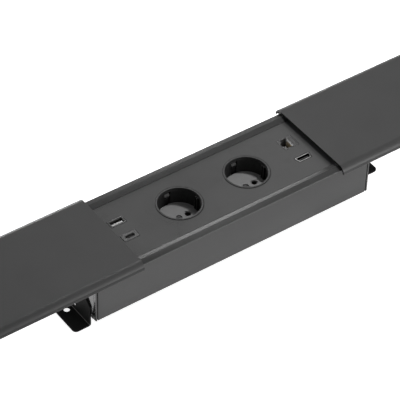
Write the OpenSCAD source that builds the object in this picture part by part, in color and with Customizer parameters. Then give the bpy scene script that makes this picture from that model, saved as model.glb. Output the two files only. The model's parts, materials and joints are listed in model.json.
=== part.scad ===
// In-desk power strip: an aluminium trough that drops into a slot in a desk top. Two sockets,
// a charger and two data ports sit in its face panel, under two covers that slide apart.
// Millimetres. +X runs along the strip, +Z up. The origin is the middle of the desk slot, in
// the plane of the desk's top surface.

/* [Trough] */
// Length of the extruded trough between its end plates
trough_l = 290; // [280:1:330]
// Width of the trough over its flat side walls
trough_w = 91.2; // [90:0.2:98]
// How far the trough's underside lies below the desk surface
trough_d = 39.6; // [39.6:0.2:46]
// Thickness of the side walls and the floor
wall_t = 2; // [1.6:0.1:2.4]
// Height of the outer top edge above the desk surface
edge_h = 2.6; // [2.4:0.1:3]
// Height of the ridge that the covers ride on
ridge_h = 3.5; // [3.3:0.1:3.9]
// Width of the sloping strip outside the ridge
ridge_in = 5.2; // [4.6:0.1:5.8]
// Width of the sloping strip inside the ridge
ridge_b = 5.2; // [4.6:0.1:5.6]
// How far the hold-down bead stands out from the side wall
bead_p = 0.7; // [0.6:0.1:0.9]
// Height of the hold-down bead
bead_h = 0.8; // [0.7:0.1:0.9]

/* [Face panel] */
// Height of the panel's top surface above the desk surface
panel_z = 1.6; // [1.4:0.1:1.8]
// Thickness of the panel
panel_t = 2; // [1.5:0.1:2.4]
// Width of the ledge that carries the panel
ledge_w = 2.7; // [2:0.1:4]

/* [End plates] */
// Thickness of the visible plate
plate_t = 1.5; // [1.2:0.1:2]
// Thickness of the set-back layer that leaves a shadow groove
groove_t = 0.9; // [0.6:0.1:1.2]
// Depth of the shadow groove
groove_d = 0.8; // [0.5:0.1:1.2]

/* [Covers] */
// Length of each cover
cover_l = 168; // [160:1:180]
// Thickness of the cover's sheet
cover_t = 1.6; // [1.4:0.1:1.8]
// Height of the cover's top above the desk surface
cover_top = 7.6; // [7.4:0.1:8.4]
// Gap between the covers' lips and the desk surface
lip_z = 0.3; // [0.2:0.1:0.4]
// How far the left cover overlaps the trough, as photographed
left_overlap = 44.5; // [37:0.5:65]
// How far the right cover overlaps the trough, as photographed
right_overlap = 31.7; // [31:0.1:65]
// Length of each glide shoe
glide_l = 30; // [20:1:32]
// Distance between a cover's inner end and its first glide shoe
glide_inset = 2; // [1:0.5:3]
// Distance between a cover's inner end and its second glide shoe
glide_far = 110; // [90:1:112]
// Thickness of the glide shoe's outer leg
glide_leg = 2.4; // [1.8:0.1:2.6]

/* [Desk brackets] */
// Clearance between a bracket's sides and the end plate's corner screws
bracket_clear = 0.6; // [0.4:0.1:3]
// Reach of a bracket's foot from the end plate
bracket_reach = 17.3; // [15:0.1:24]
// Thickness of the bracket sheet
bracket_t = 1.5; // [1.2:0.1:2]
// Height of a bracket's upright leg
bracket_h = 31; // [30.4:0.2:33]
// Vertical travel of a bracket in its slots
bracket_travel = 21; // [16:0.5:21.5]
// Height of the clamp screws above the trough's underside
clamp_h = 17; // [15.6:0.1:18]
// Distance between a bracket's two clamp screws
clamp_gap = 28; // [26:1:50]
// Radius of the desk screw holes
desk_hole_r = 2.75; // [2:0.05:3]
// Distance between a bracket's two desk screw holes
desk_hole_gap = 24; // [20:1:60]
// Corner radius of the foot
foot_r = 4; // [2:0.5:6]

/* [Sockets] */
// Place of the left socket along the strip, from its middle
socket_1_x = -29.4; // [-31:0.1:-28]
// Place of the right socket along the strip, from its middle
socket_2_x = 43.4; // [42:0.1:45]
// Radius of the recess's mouth
mouth_r = 19.6; // [19.5:0.05:20]
// Depth of the mouth, down to a small step
mouth_d = 2.5; // [2:0.1:2.8]
// Width of the step under the mouth
mouth_step = 0.3; // [0.3:0.05:0.5]
// Depth of the recess from the top of its rim
recess_d = 17.5; // [16.5:0.1:17.5]
// Wall thickness of the socket cup
cup_t = 1.65; // [1.45:0.05:1.8]
// Width of the rim that covers the panel's hole
rim_over = 0.7; // [0.6:0.1:1.2]
// Height of the rim above the panel
rim_h = 0.4; // [0.3:0.1:0.8]
// Distance between the two pin holes
pin_gap = 19; // [18.8:0.1:19.2]
// Radius of the pin holes
pin_hole_r = 2.75; // [2.6:0.05:3]
// Thickness of the recess floor
floor_t = 2; // [1.8:0.1:2.2]
// Width of the guide ribs beside the pins
rib_w = 4.6; // [4:0.1:5]
// How far the guide ribs stand into the recess
rib_p = 1.7; // [1:0.1:2]
// Width of the earth contact strip
earth_w = 5; // [4:0.1:6]
// Depth of the contact carrier under the cup
base_h = 16.6; // [15:0.1:17]

/* [Ports] */
// Distance from the trough's left end to the two charging ports
usb_end = 56.7; // [55:0.1:59]
// Place of the wide charging port across the strip
usb_a_y = 10.9; // [9:0.1:12]
// Place of the small charging port across the strip
usb_c_y = -9.8; // [-12:0.1:-9]
// Length of a charging port's bezel
usb_bezel_l = 15.4; // [14.8:0.1:16.4]
// Width of a charging port's bezel
usb_bezel_w = 8.2; // [7.4:0.1:9]
// Distance from the trough's right end to the two data ports
data_end = 47.6; // [46:0.1:49]
// Place of the network port across the strip
net_y = 11; // [10:0.1:12]
// Length of the network port's face along the strip
net_l = 15.8; // [15:0.1:16.6]
// Width of the network port's face across the strip
net_w = 14.1; // [13.6:0.1:15]
// Place of the video port across the strip
video_y = -12.8; // [-14:0.1:-11]
// Height of the data couplers under the panel
coupler_h = 28; // [24:0.5:30]

/* [Cable entry] */
// Distance from the trough's left end to the mains gland
gland_end = 16; // [15:0.5:17]
// Radius of the gland's bore
gland_bore_r = 4; // [3:0.1:4.4]
// Length of the data cable outlet in the floor
outlet_l = 34; // [30:0.5:38]
// Width of the data cable outlet in the floor
outlet_w = 44; // [40:0.5:48]

/* [Fits] */
// Gap between pieces that slide past each other
slide_gap = 0.35; // [0.3:0.05:0.4]
// Gap around a piece that is set into a hole
fit_gap = 0.15; // [0.1:0.05:0.2]

/* [Hidden] */
$fn = 64;

// Trough and rails: heights and half widths of the section
wall_y = trough_w / 2;
bottom_z = -trough_d;
floor_z = bottom_z + wall_t;
bead_y = wall_y + bead_p;
edge_round = 0.5;
ridge_y = wall_y - ridge_in;
foot_y = ridge_y - ridge_b;
foot_rise = 0.1;
panel_under = panel_z - panel_t;
ledge_y = foot_y - ledge_w;
ledge_t = 1.8;
gusset_h = 3;

// End plate screws and the ports they bite into
port_y = wall_y - 3.7;
port_r = 3.1;
port_low_z = bottom_z + 3.9;
port_high_z = panel_under - ledge_t - 4.2;
end_screw_r = 1.5;
end_screw_l = 14;
end_head_r = 2.5;
end_head_h = 1.5;
plate_x = trough_l / 2 + groove_t;
end_x = plate_x + plate_t;

// Places along the strip
left_open = trough_l / 2 - left_overlap;
right_open = trough_l / 2 - right_overlap;
usb_x = usb_end - trough_l / 2;
data_x = trough_l / 2 - data_end;
gland_x = gland_end - trough_l / 2;

// Covers and glide shoes
glide_gap = fit_gap;
cover_half = bead_y + slide_gap + glide_leg + glide_gap + cover_t;
cover_r = cover_top - lip_z;
cover_under = cover_top - cover_t;
glide_in_y = foot_y + 1.3;
glide_slope = (ridge_h - panel_z - foot_rise) / ridge_b;

// Brackets, at their photographed heights
bracket_w = 2 * (port_y - end_head_r - bracket_clear);
bracket_x = end_x + slide_gap;
bracket_out = end_x + bracket_reach;
clamp_z = bottom_z + clamp_h;
slot_r = 2.2;
washer_r = 4.5;
washer_t = 0.8;
slot_low = washer_r + bracket_t + slide_gap;
slot_high = slot_low + bracket_travel;
left_foot_z = clamp_z - slot_high;
right_foot_z = clamp_z - slot_low;
shoulder = 8.5;
desk_hole_x = end_x + 8;
clamp_r = 2;
washer_x = bracket_x + bracket_t + slide_gap;
clamp_head_r = 3.8;
clamp_head_h = 2.2;
nut_af = 7;
nut_t = 3.2;

// Sockets
socket_xs = [socket_1_x, socket_2_x];
recess_r = mouth_r - mouth_step;
cup_r = recess_r + cup_t;
hole_r = cup_r + fit_gap;
rim_r = hole_r + rim_over;
rim_z = panel_z + rim_h;
recess_z = rim_z - recess_d;
cup_under = recess_z - floor_t;
rib_h = recess_d - mouth_d - 0.5;
earth_t = 0.8;
earth_slot_w = earth_w + 1;
earth_leg_y = recess_r + 0.55;
earth_top_z = rim_z - mouth_d - 1;
screw_seat_r = 2.9;
screw_seat_d = 1.2;
screw_head_r = 2.3;
screw_head_h = 1.1;
screw_shank_r = 1.5;
screw_grip = 7;
base_top = cup_under - earth_t;
base_z = base_top - base_h;
base_l = 38;
base_w = 27;
sleeve_in_r = 2.45;
sleeve_r = 3.2;
sleeve_h = 12.5;
channel_r = sleeve_r + 0.35;
bar_t = 1;
bar_w = 3.6;
bar_y = 6;
bar_z = base_z + 0.4;
bar_x0 = socket_1_x - 30;
bar_x1 = socket_2_x + pin_gap / 2 + 2;
earth_y = 18;

// Mains side
gland_r = 8;
gland_af = 19;
gland_nut_af = 20;
pole_ys = [-bar_y, bar_y, earth_y];
block_l = 14;
block_x0 = gland_x + gland_r + 6;
block_x1 = block_x0 + block_l;
block_edge = 6;
wire_r = 1.4;
wire_grip = 6;
riser_x = bar_x0 + wire_grip + 1;
wire_z = bar_z + bar_t + wire_r;
block_rise = 9;
block_top = wire_z + block_rise;
pole_screw_r = 2;
pole_screw_h = 4;
pole_screw_z = wire_z + wire_r + 1;

// Charger
charger_l = 22;
charger_y0 = usb_c_y - 7.4;
charger_y1 = usb_a_y + 7.4;
charger_h = 25;
charger_t = 1.2;
bezel_h = 3.4;
bezel_proud = 0.15;
usb_a_l = 12.2;
usb_a_w = 5;
usb_a_tongue_l = 11;
usb_a_tongue_t = 1.9;
usb_a_tongue_gap = 0.55;
usb_c_l = 8.9;
usb_c_w = 3.2;
usb_c_tongue_l = 6.7;
usb_c_tongue_t = 0.7;
shell_t = 0.3;
shell_floor = 1;
usb_depth = 11;

// Data ports
net_open_l = 6.8;
net_open_w = 11.8;
net_open_x = -1.2;
net_depth = 14;
video_l = 14.9;
video_w = 5.6;
video_t = 0.45;
video_depth = 9;
video_tongue_l = 11.3;
video_tongue_t = 1.4;
video_cut = 0.6;
outlet_r = 3;
grommet_t = 1.4;

// Small geometry helpers

module along_x(len) {
    rotate([90, 0, 90])
        linear_extrude(len, center = true)
            children();
}

module both_sides() {
    children();
    mirror([0, 1, 0])
        children();
}

module round_rect(l, w, r) {
    square([l - 2 * r, w], center = true);
    square([l, w - 2 * r], center = true);
    for (sx = [-1, 1], sy = [-1, 1])
        translate([sx * (l / 2 - r), sy * (w / 2 - r)])
            circle(r, $fn = 24);
}

module slot_shape(l, r) {
    square([l - 2 * r, 2 * r], center = true);
    for (s = [-1, 1])
        translate([s * (l / 2 - r), 0])
            circle(r, $fn = 32);
}

function arc(cx, cy, r, a0, a1, n) =
    [for (i = [0:n]) [cx + r * cos(a0 + (a1 - a0) * i / n), cy + r * sin(a0 + (a1 - a0) * i / n)]];

function slope_z(y) = panel_z + foot_rise + (y - foot_y) * glide_slope;

// Trough: one aluminium extrusion with ridged rails, panel ledges and four screw ports

function mirrored(points) =
    [for (i = [len(points) - 1:-1:0]) [-points[i][0], points[i][1]]];

function wall_points() = concat(
    [[wall_y, bottom_z], [wall_y, edge_h - bead_h - bead_p],
     [bead_y, edge_h - bead_h]],
    arc(bead_y - edge_round, edge_h - edge_round, edge_round, 0, 80, 4),
    [[ridge_y, ridge_h], [foot_y, panel_z + foot_rise], [foot_y, panel_under],
     [ledge_y, panel_under], [ledge_y, panel_under - ledge_t],
     [foot_y, panel_under - ledge_t], [wall_y - wall_t, panel_under - ledge_t - gusset_h],
     [wall_y - wall_t, floor_z]]);

module trough_section() {
    difference() {
        union() {
            polygon(concat(wall_points(), mirrored(wall_points())));
            for (s = [-1, 1], z = [port_low_z, port_high_z])
                translate([s * port_y, z])
                    circle(port_r);
        }
        for (s = [-1, 1], z = [port_low_z, port_high_z])
            translate([s * port_y, z])
                circle(end_screw_r + 0.05);
    }
}

module trough() {
    color("dimgray")
        difference() {
            along_x(trough_l)
                trough_section();
            translate([gland_x, 0, bottom_z - 1])
                cylinder(h = wall_t + 2, r = gland_r + fit_gap);
            translate([data_x, 0, bottom_z - 1])
                linear_extrude(wall_t + 2)
                    round_rect(outlet_l + 2 * grommet_t, outlet_w + 2 * grommet_t, outlet_r + grommet_t);
        }
}

// End plates: the trough's outline in sheet, over a set-back layer that leaves the groove

function plate_half() = concat(
    [[wall_y, bottom_z], [wall_y, edge_h - bead_h - bead_p], [bead_y, edge_h - bead_h]],
    arc(bead_y - edge_round, edge_h - edge_round, edge_round, 0, 80, 4),
    [[ridge_y, ridge_h], [foot_y, panel_z]]);

function set_back_half() =
    [[wall_y - groove_d, bottom_z + groove_d], [wall_y - groove_d, edge_h - groove_d],
     [ridge_y, ridge_h - groove_d], [foot_y - groove_d, panel_z - groove_d]];

module end_plate(side) {
    color("gray")
        difference() {
            union() {
                translate([side * (trough_l / 2 + groove_t / 2 + plate_t / 4), 0, 0])
                    along_x(groove_t + plate_t / 2)
                        polygon(concat(set_back_half(), mirrored(set_back_half())));
                translate([side * (plate_x + plate_t / 2), 0, 0])
                    along_x(plate_t)
                        polygon(concat(plate_half(), mirrored(plate_half())));
            }
            for (sy = [-1, 1], z = [port_low_z, port_high_z])
                translate([side * plate_x, sy * port_y, z])
                    rotate([0, 90, 0])
                        cylinder(h = 8, r = end_screw_r + 0.3, center = true, $fn = 32);
            for (sy = [-1, 1])
                translate([side * plate_x, sy * clamp_gap / 2, clamp_z])
                    rotate([0, 90, 0])
                        cylinder(h = 8, r = clamp_r + 0.1, center = true, $fn = 32);
        }
}

module end_plate_left() {
    end_plate(-1);
}

module end_plate_right() {
    end_plate(1);
}

module end_screw() {
    rotate_extrude($fn = 40)
        polygon(concat([[0, -end_screw_l], [end_screw_r - 0.5, -end_screw_l],
                        [end_screw_r, -end_screw_l + 1.5], [end_screw_r, 0], [end_head_r, 0]],
                       arc(end_head_r - 0.9, end_head_h - 0.9, 0.9, 0, 90, 5),
                       [[0, end_head_h]]));
}

module end_plate_screws() {
    color("silver")
        for (sx = [-1, 1], sy = [-1, 1], z = [port_low_z, port_high_z])
            translate([sx * end_x, sy * port_y, z])
                rotate([0, sx * 90, 0])
                    difference() {
                        end_screw();
                        translate([0, 0, end_head_h])
                            for (a = [0, 90])
                                rotate(a)
                                    cube([2.6, 0.7, 1.6], center = true);
                    }
}

// Face panel: flat sheet between the rails, with a hole for each insert

module video_outline(grow) {
    half_l = video_l / 2 + grow;
    half_w = video_w / 2 + grow;
    polygon([[-half_l, half_w], [-half_l, 0.2], [-half_l + 1.5, -half_w],
             [half_l - 1.5, -half_w], [half_l, 0.2], [half_l, half_w]]);
}

module face_panel() {
    color([0.36, 0.36, 0.37])
        translate([0, 0, panel_under])
            linear_extrude(panel_t)
                difference() {
                    square([trough_l - 2 * fit_gap, 2 * foot_y - 2 * fit_gap], center = true);
                    for (x = socket_xs)
                        translate([x, 0])
                            circle(hole_r, $fn = 96);
                    for (y = [usb_a_y, usb_c_y])
                        translate([usb_x, y])
                            round_rect(usb_bezel_l + 2 * fit_gap, usb_bezel_w + 2 * fit_gap, 0.8);
                    translate([data_x, net_y])
                        square([net_l + 2 * fit_gap, net_w + 2 * fit_gap], center = true);
                    translate([data_x, video_y])
                        video_outline(video_cut);
                }
}

// Covers: shallow channels with round shoulders, cut square at both ends

module cover_shape(half, r, under) {
    translate([-(half - r), under])
        square([2 * (half - r), r]);
    for (s = [-1, 1])
        translate([s * (half - r), under])
            intersection() {
                circle(r, $fn = 96);
                translate([-r, 0])
                    square([2 * r, r]);
            }
}

module cover(inner_x, side) {
    color([0.3, 0.3, 0.31])
        translate([inner_x + side * cover_l / 2, 0, 0])
            along_x(cover_l)
                difference() {
                    cover_shape(cover_half, cover_r, lip_z);
                    translate([0, -1])
                        square([2 * (cover_half - cover_t), 2 * (lip_z + 1)], center = true);
                    cover_shape(cover_half - cover_t, cover_r - cover_t, lip_z);
                }
}

module cover_left() {
    cover(-left_open, -1);
}

module cover_right() {
    cover(right_open, 1);
}

// Glide shoes: moulded strips that ride on the ridge and hook under the bead

function glide_points() = concat(
    [[glide_in_y, cover_under], [glide_in_y, slope_z(glide_in_y) + slide_gap],
     [ridge_y, ridge_h + slide_gap], [bead_y - edge_round, edge_h + slide_gap + 0.1],
     [bead_y + slide_gap, edge_h - 0.2], [bead_y + slide_gap, edge_h - bead_h - slide_gap - 0.1],
     [wall_y + slide_gap, edge_h - bead_h - bead_p - slide_gap - 0.1], [wall_y + slide_gap, lip_z]],
    arc(cover_half - cover_r, lip_z, cover_r - cover_t - glide_gap, 0, 84, 9),
    [[cover_half - cover_r, cover_under - glide_gap], [cover_half - cover_r, cover_under]]);

module glide_pair(inner_x, side, from) {
    translate([inner_x + side * (from + glide_l / 2), 0, 0])
        both_sides()
            along_x(glide_l)
                polygon(glide_points());
}

module glides(inner_x, side) {
    color([0.06, 0.06, 0.06]) {
        glide_pair(inner_x, side, glide_inset);
        glide_pair(inner_x, side, glide_far);
    }
}

module glides_left() {
    glides(-left_open, -1);
}

module glides_right() {
    glides(right_open, 1);
}

// Desk brackets: slotted angles that slide up and down on the end plates

module bracket_upright(foot_z) {
    half = bracket_w / 2;
    difference() {
        translate([0, foot_z])
            polygon([[-half, 0], [half, 0], [half, bracket_h - shoulder],
                     [half - shoulder, bracket_h], [-half + shoulder, bracket_h],
                     [-half, bracket_h - shoulder]]);
        for (s = [-1, 1])
            translate([s * clamp_gap / 2, foot_z + (slot_low + slot_high) / 2])
                rotate(90)
                    slot_shape(bracket_travel + 2 * slot_r, slot_r);
    }
}

module bracket_foot() {
    half = bracket_w / 2;
    difference() {
        union() {
            translate([bracket_x, -half])
                square([bracket_out - bracket_x - foot_r, bracket_w]);
            translate([bracket_x, -half + foot_r])
                square([bracket_out - bracket_x, bracket_w - 2 * foot_r]);
            for (s = [-1, 1])
                translate([bracket_out - foot_r, s * (half - foot_r)])
                    circle(foot_r);
        }
        for (s = [-1, 1])
            translate([desk_hole_x, s * desk_hole_gap / 2])
                circle(desk_hole_r);
    }
}

module bracket(side, foot_z) {
    color([0.08, 0.08, 0.08])
        mirror([side < 0 ? 1 : 0, 0, 0]) {
            translate([bracket_x + bracket_t / 2, 0, 0])
                along_x(bracket_t)
                    bracket_upright(foot_z);
            translate([0, 0, foot_z])
                linear_extrude(bracket_t)
                    bracket_foot();
        }
}

module bracket_left() {
    bracket(-1, left_foot_z);
}

module bracket_right() {
    bracket(1, right_foot_z);
}

// Clamp hardware: button head screws, washers and nuts, two of each at both ends

module at_clamps() {
    for (sx = [-1, 1], sy = [-1, 1])
        mirror([sx < 0 ? 1 : 0, 0, 0])
            translate([0, sy * clamp_gap / 2, clamp_z])
                rotate([0, 90, 0])
                    children();
}

module hex_nut(af, t, r) {
    difference() {
        cylinder(h = t, r = af / sqrt(3), $fn = 6);
        translate([0, 0, -1])
            cylinder(h = t + 2, r = r, $fn = 32);
    }
}

module clamp_screws() {
    head_x = washer_x + washer_t;
    color("silver")
        at_clamps()
            difference() {
                translate([0, 0, trough_l / 2 - nut_t - 2])
                    rotate_extrude($fn = 40)
                        polygon(concat([[0, 0], [clamp_r, 0],
                                        [clamp_r, head_x - trough_l / 2 + nut_t + 2],
                                        [clamp_head_r, head_x - trough_l / 2 + nut_t + 2]],
                                       arc(clamp_head_r - 1.6, head_x - trough_l / 2 + nut_t + 2.6,
                                           1.6, 0, 90, 6),
                                       [[0, head_x - trough_l / 2 + nut_t + 4.2]]));
                translate([0, 0, head_x + clamp_head_h - 1.3])
                    cylinder(h = 3, r = 2.5 / sqrt(3), $fn = 6);
            }
}

module clamp_washers() {
    color("silver")
        at_clamps()
            translate([0, 0, washer_x])
                difference() {
                    cylinder(h = washer_t, r = washer_r, $fn = 40);
                    translate([0, 0, -1])
                        cylinder(h = washer_t + 2, r = clamp_r + 0.15, $fn = 32);
                }
}

module clamp_nuts() {
    color("silver")
        at_clamps()
            translate([0, 0, trough_l / 2 - nut_t])
                hex_nut(nut_af, nut_t, clamp_r + 0.05);
}

// Socket cups: recess, rim, guide ribs, pin holes and the slots for the earth contact

module socket_cup(x) {
    color([0.1, 0.1, 0.1])
        translate([x, 0, 0])
            difference() {
                union() {
                    translate([0, 0, cup_under])
                        cylinder(h = rim_z - cup_under - rim_h, r = cup_r, $fn = 96);
                    translate([0, 0, panel_z])
                        rotate_extrude($fn = 96)
                            polygon([[recess_r - 2, 0], [rim_r, 0], [rim_r - 0.25, rim_h],
                                     [recess_r - 2, rim_h]]);
                }
                translate([0, 0, rim_z - mouth_d])
                    cylinder(h = mouth_d + 1, r = mouth_r, $fn = 96);
                difference() {
                    translate([0, 0, recess_z])
                        cylinder(h = recess_d + 1, r = recess_r, $fn = 96);
                    for (s = [-1, 1])
                        translate([s * (recess_r - rib_p + 2), 0, recess_z + rib_h / 2])
                            cube([4, rib_w, rib_h], center = true);
                }
                for (s = [-1, 1])
                    translate([s * pin_gap / 2, 0, cup_under - 1])
                        cylinder(h = floor_t + 2, r = pin_hole_r, $fn = 48);
                translate([0, 0, cup_under - 1])
                    cylinder(h = floor_t + 2, r = screw_shank_r + 0.2, $fn = 32);
                translate([0, 0, recess_z - screw_seat_d])
                    cylinder(h = 2, r = screw_seat_r, $fn = 48);
                for (s = [-1, 1])
                    translate([0, s * (earth_leg_y + 1.4), (earth_top_z + cup_under - 1) / 2])
                        cube([earth_slot_w, 4.6, earth_top_z - cup_under + 1], center = true);
            }
}

module socket_cup_left() {
    socket_cup(socket_1_x);
}

module socket_cup_right() {
    socket_cup(socket_2_x);
}

// Contact carriers: insulating blocks that hold the contact sleeves under each cup

module contact_carrier(x) {
    color([0.15, 0.15, 0.15])
        translate([x, 0, 0])
            difference() {
                translate([0, 0, base_z])
                    linear_extrude(base_h)
                        round_rect(base_l, base_w, 3);
                for (s = [-1, 1])
                    translate([s * pin_gap / 2, 0, base_z - 1])
                        cylinder(h = base_h + 2, r = channel_r, $fn = 48);
                translate([0, 0, base_top - screw_grip - 1])
                    cylinder(h = screw_grip + 2, r = screw_shank_r + 0.05, $fn = 32);
                for (s = [-1, 1]) {
                    translate([0, s * bar_y, base_z])
                        cube([base_l + 2, bar_w + 0.6, 2 * (bar_t + 0.8)], center = true);
                    translate([-s * pin_gap / 2, s * bar_y / 2, base_z])
                        cube([2 * channel_r, bar_y, 2 * (bar_t + 0.8)], center = true);
                }
            }
}

module contact_carrier_left() {
    contact_carrier(socket_1_x);
}

module contact_carrier_right() {
    contact_carrier(socket_2_x);
}

module socket_screws() {
    color("gainsboro")
        for (x = socket_xs)
            translate([x, 0, 0])
                difference() {
                    union() {
                        translate([0, 0, recess_z - screw_seat_d])
                            cylinder(h = screw_head_h, r = screw_head_r, $fn = 48);
                        translate([0, 0, base_top - screw_grip])
                            cylinder(h = cup_under - base_top + screw_grip + floor_t / 2,
                                     r = screw_shank_r, $fn = 32);
                    }
                    translate([0, 0, recess_z - screw_seat_d + screw_head_h])
                        cube([2 * screw_head_r, 0.6, 1], center = true);
                }
}

// Earth clips: sprung strips that rise through both sides of the recess wall

function clip_outer() = concat(
    [[0, base_top], [earth_leg_y + earth_t, base_top],
     [earth_leg_y + earth_t, earth_top_z - 1]],
    [[earth_leg_y + earth_t - 0.2, earth_top_z - 0.4], [earth_leg_y, earth_top_z - 0.4]],
    arc(earth_leg_y + 2.4, earth_top_z - 4.4, 3.6, 126, 234, 10),
    [[earth_leg_y, base_top + earth_t], [0, base_top + earth_t]]);

module earth_clip(x) {
    color("goldenrod")
        translate([x, 0, 0])
            difference() {
                both_sides()
                    along_x(earth_w)
                        polygon(clip_outer());
                translate([0, 0, base_top - 1])
                    cylinder(h = earth_t + 2, r = screw_shank_r + 0.3, $fn = 32);
            }
}

module earth_clip_left() {
    earth_clip(socket_1_x);
}

module earth_clip_right() {
    earth_clip(socket_2_x);
}

// Busbars: brass strips with a split contact sleeve for each pin

module contact_sleeve() {
    difference() {
        cylinder(h = sleeve_h, r = sleeve_r, $fn = 48);
        translate([0, 0, bar_t])
            cylinder(h = sleeve_h, r = sleeve_in_r, $fn = 48);
        translate([0, sleeve_r, sleeve_h / 2 + 2 * bar_t])
            cube([0.8, 2 * sleeve_r, sleeve_h], center = true);
        translate([0, -sleeve_r, sleeve_h / 2 + 2 * bar_t])
            cube([0.8, 2 * sleeve_r, sleeve_h], center = true);
    }
}

module busbar(side) {
    color("goldenrod") {
        translate([bar_x0, side * bar_y - bar_w / 2, bar_z])
            cube([bar_x1 - bar_x0, bar_w, bar_t]);
        for (x = socket_xs)
            translate([x - side * pin_gap / 2, 0, bar_z]) {
                contact_sleeve();
                translate([0, side * bar_y / 2, bar_t / 2])
                    cube([4, bar_y, bar_t], center = true);
            }
    }
}

module live_busbar() {
    busbar(1);
}

module neutral_busbar() {
    busbar(-1);
}

module earth_strip() {
    color("goldenrod") {
        translate([riser_x, earth_y - bar_w / 2, base_top - bar_t])
            cube([socket_2_x + earth_w / 2 - riser_x, bar_w, bar_t]);
        translate([riser_x, earth_y - bar_w / 2, bar_z])
            cube([bar_t, bar_w, base_top - bar_z]);
        translate([bar_x0, earth_y - bar_w / 2, bar_z])
            cube([riser_x + bar_t - bar_x0, bar_w, bar_t]);
    }
}

// Mains entry: gland, terminal block and the three conductors to the busbars

module terminal_block() {
    color("ivory")
        difference() {
            translate([block_x0, pole_ys[0] - block_edge, floor_z])
                cube([block_l, earth_y + bar_y + 2 * block_edge, block_top - floor_z]);
            for (y = pole_ys) {
                translate([block_x0 - 1, y, wire_z])
                    rotate([0, 90, 0])
                        cylinder(h = block_l + 2, r = wire_r + 0.3, $fn = 32);
                for (x = [block_x0 + block_l / 4, block_x1 - block_l / 4])
                    translate([x, y, pole_screw_z])
                        cylinder(h = block_rise, r = pole_screw_r + 0.1, $fn = 32);
            }
            for (y = [0, (bar_y + earth_y) / 2])
                translate([block_x0 - 1, y - 0.6, block_top - 4])
                    cube([block_l + 2, 1.2, 5]);
        }
}

module terminal_screws() {
    color("silver")
        for (x = [block_x0 + block_l / 4, block_x1 - block_l / 4], y = pole_ys)
            translate([x, y, pole_screw_z])
                difference() {
                    cylinder(h = pole_screw_h, r = pole_screw_r, $fn = 32);
                    translate([0, 0, pole_screw_h])
                        cube([2.5 * pole_screw_r, 0.7, 1.6], center = true);
                }
}

module internal_wires() {
    colors = ["royalblue", "sienna", "yellowgreen"];
    for (i = [0:2])
        color(colors[i])
            translate([block_x1 - wire_grip, pole_ys[i], wire_z])
                rotate([0, 90, 0])
                    cylinder(h = bar_x0 - block_x1 + 2 * wire_grip, r = wire_r, $fn = 24);
}

module mains_gland() {
    color([0.12, 0.12, 0.12])
        translate([gland_x, 0, 0])
            difference() {
                union() {
                    translate([0, 0, bottom_z])
                        cylinder(h = wall_t + 6, r = gland_r, $fn = 64);
                    translate([0, 0, bottom_z - 4])
                        cylinder(h = 4, r = gland_af / sqrt(3), $fn = 6);
                    translate([0, 0, bottom_z - 11])
                        rotate_extrude($fn = 64)
                            polygon([[gland_bore_r, 0], [gland_bore_r + 2, 0], [8.2, 3],
                                     [8.8, 5], [8.8, 7.2], [gland_bore_r, 7.2]]);
                }
                translate([0, 0, bottom_z - 12])
                    cylinder(h = wall_t + 20, r = gland_bore_r, $fn = 64);
            }
}

module gland_nut() {
    color([0.12, 0.12, 0.12])
        translate([gland_x, 0, floor_z])
            hex_nut(gland_nut_af, 4, gland_r + 0.1);
}

module outlet_grommet() {
    color([0.08, 0.08, 0.08])
        translate([data_x, 0, 0])
            difference() {
                union() {
                    translate([0, 0, bottom_z - 1.2])
                        linear_extrude(1.2)
                            round_rect(outlet_l + 4 * grommet_t, outlet_w + 4 * grommet_t,
                                       outlet_r + 2 * grommet_t);
                    translate([0, 0, bottom_z])
                        linear_extrude(wall_t)
                            round_rect(outlet_l + 2 * (grommet_t - fit_gap),
                                       outlet_w + 2 * (grommet_t - fit_gap),
                                       outlet_r + grommet_t - fit_gap);
                }
                translate([0, 0, bottom_z - 2])
                    linear_extrude(wall_t + 4)
                        round_rect(outlet_l, outlet_w, outlet_r);
            }
}

// Charger: a case under the panel with its board, and one bezel and shell for each port

module charger_case() {
    case_w = charger_y1 - charger_y0;
    color([0.1, 0.1, 0.1])
        translate([usb_x, (charger_y0 + charger_y1) / 2, panel_under - charger_h])
            difference() {
                linear_extrude(charger_h)
                    round_rect(charger_l, case_w, 1.5);
                translate([0, 0, charger_t])
                    linear_extrude(charger_h)
                        round_rect(charger_l - 2 * charger_t, case_w - 2 * charger_t, 0.8);
            }
}

module charger_board() {
    board_w = charger_y1 - charger_y0 - 2 * charger_t - 2 * fit_gap;
    color("darkgreen")
        translate([usb_x, (charger_y0 + charger_y1) / 2, panel_under - charger_h + charger_t]) {
            translate([0, 0, 3.8])
                cube([charger_l - 2 * charger_t - 2 * fit_gap, board_w, 1.6], center = true);
            translate([-4, 6, 1.5])
                cube([6, 10, 3], center = true);
            translate([4, -6, 1.5])
                cylinder(h = 3, r = 3, center = true, $fn = 32);
        }
}

module port_bezel(y) {
    translate([usb_x, y, panel_z + bezel_proud - bezel_h])
        difference() {
            linear_extrude(bezel_h)
                round_rect(usb_bezel_l, usb_bezel_w, 0.7);
            translate([0, 0, -1])
                linear_extrude(bezel_h + 2)
                    children();
        }
}

module usb_a_bezel() {
    color([0.33, 0.33, 0.34])
        port_bezel(usb_a_y)
            square([usb_a_l + 2 * shell_t + 2 * fit_gap, usb_a_w + 2 * shell_t + 2 * fit_gap],
                   center = true);
}

module usb_c_bezel() {
    color([0.33, 0.33, 0.34])
        port_bezel(usb_c_y)
            slot_shape(usb_c_l + 2 * shell_t + 2 * fit_gap, usb_c_w / 2 + shell_t + fit_gap);
}

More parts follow.
